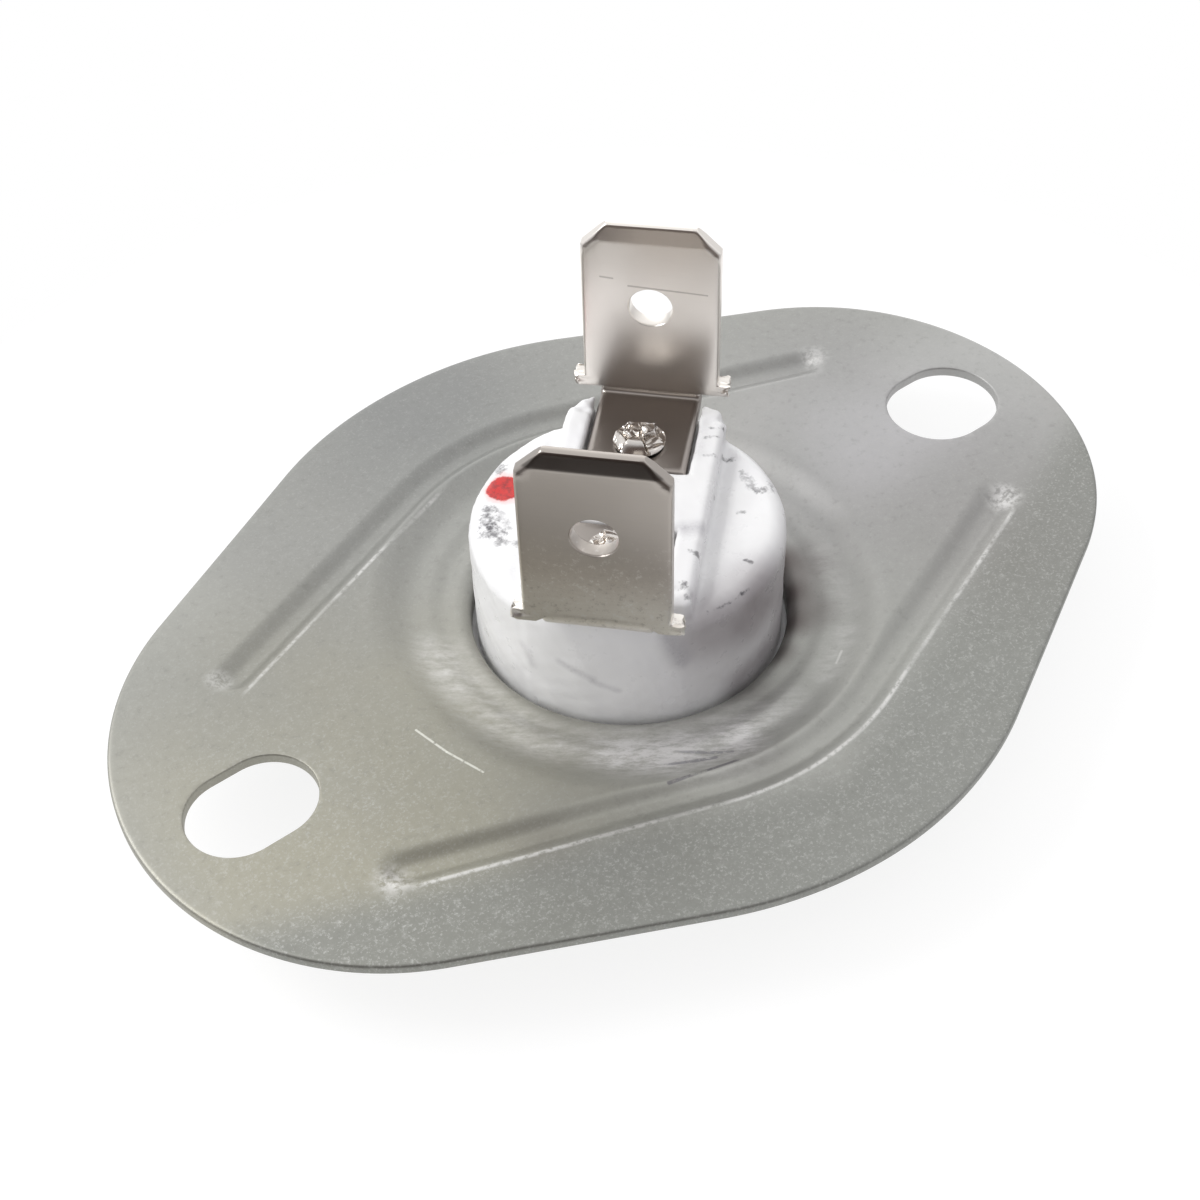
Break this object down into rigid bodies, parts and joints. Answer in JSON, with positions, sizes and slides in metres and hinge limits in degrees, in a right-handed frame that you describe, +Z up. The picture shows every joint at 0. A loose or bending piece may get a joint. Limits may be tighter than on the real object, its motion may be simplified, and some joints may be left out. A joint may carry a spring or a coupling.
{
  "type": "snap-disc thermal cut-off on an oval mounting plate",
  "caption": "Ceramic snap-disc thermal cut-off on an oval pressed mounting plate: heat at the round cap flips a disc, whose pin opens the contacts between two push-on tabs.",
  "frame": {"origin": "on the round body's axis, on the flat sensing face of the cap, which is the part's lowest face and centre", "axes": "+Z is up from the sensing face to the tabs; +X is the plate's long axis, towards the wider mounting hole; +Y completes a right-hand frame across the plate"},
  "size_m": [0.0516, 0.0378, 0.0199],
  "materials": {
    "zinc_plate": "satin zinc-plated steel with a fine grain and scuffs",
    "white_ceramic": "smooth white fired ceramic with grey rub marks and one red ink dot",
    "cap_aluminium": "drawn satin aluminium",
    "bimetal": "rolled bimetal strip",
    "guide_ceramic": "plain fired ceramic",
    "spring_copper": "rolled copper alloy spring",
    "nickel_plating": "bright nickel plating on brass",
    "silver": "silver alloy",
    "rivet_metal": "bright plated brass, peened"
  },
  "bodies": {
    "housing": {"mounting_plate": "zinc_plate", "ceramic_body": "white_ceramic", "sensing_cap": "cap_aluminium", "bimetal_disc": "bimetal", "pin_guide": "guide_ceramic", "contact_strip": "nickel_plating", "fixed_contact": "silver", "front_terminal": "nickel_plating", "rear_terminal": "nickel_plating", "front_rivet": "rivet_metal", "rear_rivet": "rivet_metal"},
    "pin": {"transfer_pin": "guide_ceramic"},
    "arm": {"contact_arm": "spring_copper", "moving_contact": "silver"}
  },
  "joints": [
    {"name": "pin_lift", "type": "slide", "parent": "housing", "child": "pin", "axis": [0, 0, 1], "range_m": [0, 0.00045], "deforming": ["bimetal_disc"]},
    {"name": "arm_flex", "type": "hinge", "parent": "housing", "child": "arm", "pos_m": [-0.0027, -0.00246, 0.00688], "axis": [0.673, -0.7396, 0], "range_deg": [0, 7.3], "stiffness_Nm_per_rad": 0.004, "springref_deg": -5.73}
  ],
  "couplings": [
    {"joint": "arm_flex", "follows": "pin_lift", "rad_per_m": 273.97}
  ]
}
